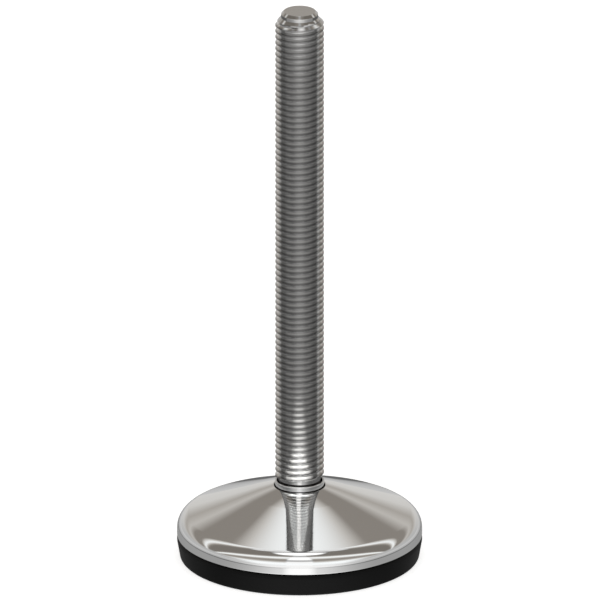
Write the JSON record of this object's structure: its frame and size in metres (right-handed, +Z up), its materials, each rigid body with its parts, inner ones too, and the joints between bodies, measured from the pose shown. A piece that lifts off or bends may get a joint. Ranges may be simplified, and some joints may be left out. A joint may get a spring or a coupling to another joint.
{
  "type": "swivel levelling foot",
  "caption": "Levelling foot: a long threaded stud with a ball end, turning and tilting in a socket under a polished steel dish on a black rubber pad.",
  "frame": {"origin": "on the floor under the foot, on the axis of the stud when it stands upright", "axes": "+Z up along the stud, +X to the right in the front view"},
  "size_m": [0.08, 0.08, 0.189],
  "materials": {
    "stud_steel": "rolled stainless steel thread, satin",
    "polished_steel": "pressed stainless steel, polished to a near mirror",
    "turned_steel": "fine turned stainless steel",
    "cup_plastic": "moulded natural plastic, matte",
    "plate_steel": "zinc plated steel",
    "black_rubber": "moulded black rubber, satin"
  },
  "bodies": {
    "foot": {"base_dish": "polished_steel", "ball_socket": "turned_steel", "backing_plate": "plate_steel", "rubber_pad": "black_rubber"},
    "cup": {"ball_cup": "cup_plastic"},
    "stud": {"threaded_stud": "stud_steel"}
  },
  "joints": [
    {"name": "stud_turn", "type": "hinge", "parent": "foot", "child": "cup", "pos_m": [0, 0, 0.02207], "axis": [0, 0, 1], "continuous": true},
    {"name": "stud_tilt", "type": "hinge", "parent": "cup", "child": "stud", "pos_m": [0, 0, 0.02207], "axis": [0, 1, 0], "range_deg": [-5, 5]}
  ]
}
